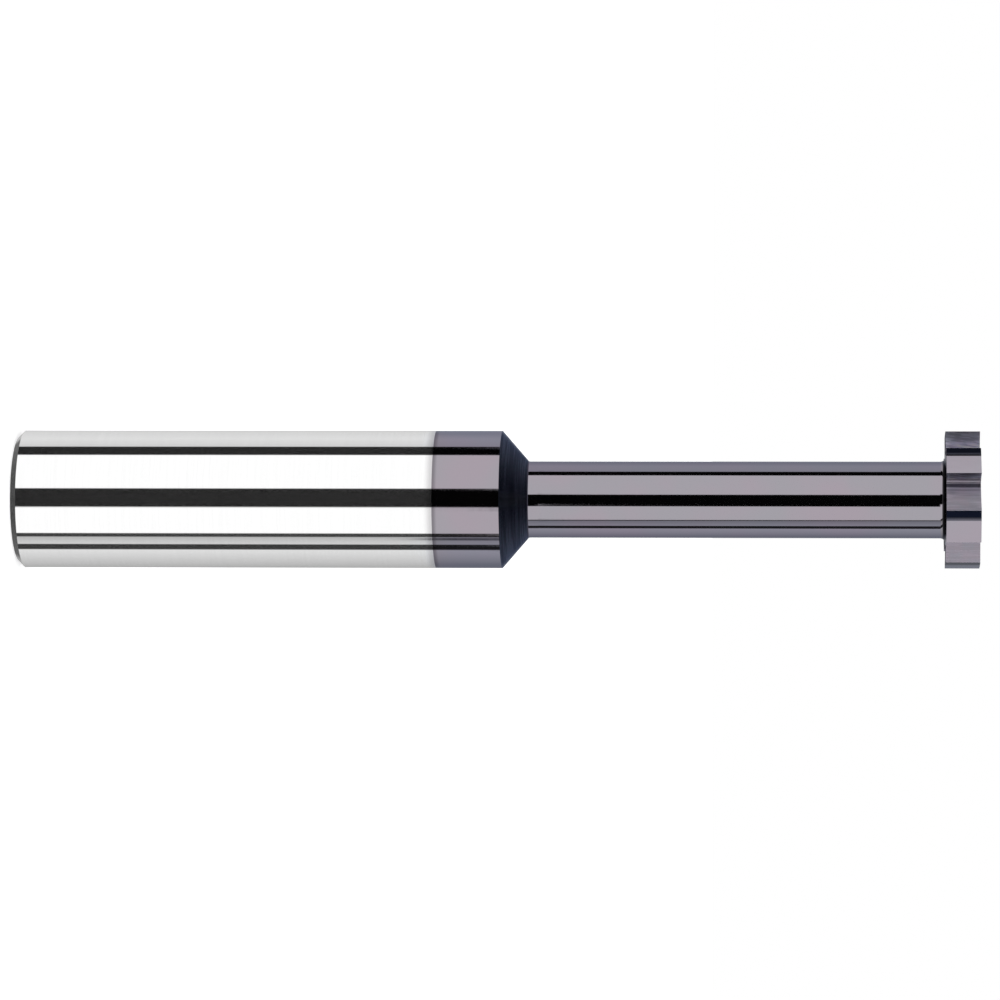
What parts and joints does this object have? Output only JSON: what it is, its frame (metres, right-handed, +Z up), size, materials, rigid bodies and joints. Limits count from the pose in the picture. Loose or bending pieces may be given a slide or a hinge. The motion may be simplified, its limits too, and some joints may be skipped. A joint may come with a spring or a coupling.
{
  "type": "woodruff keyseat cutter",
  "caption": "Shank-type milling cutter for half-moon keyseats: a plain round shank, a cone shoulder, a slim neck and a thin toothed disc, one piece of carbide.",
  "frame": {"origin": "centre of the flat end face of the shank, on which the tool stands", "axes": "+Z up the tool's axis, from the shank end to the toothed head; one cutting edge lies 112.4 degrees round from +X towards -Y"},
  "size_m": [0.0126, 0.0126, 0.0889],
  "materials": {
    "carbide": "gloss"
  },
  "bodies": {
    "root": {"keyseat_cutter": "carbide"}
  },
  "joints": []
}
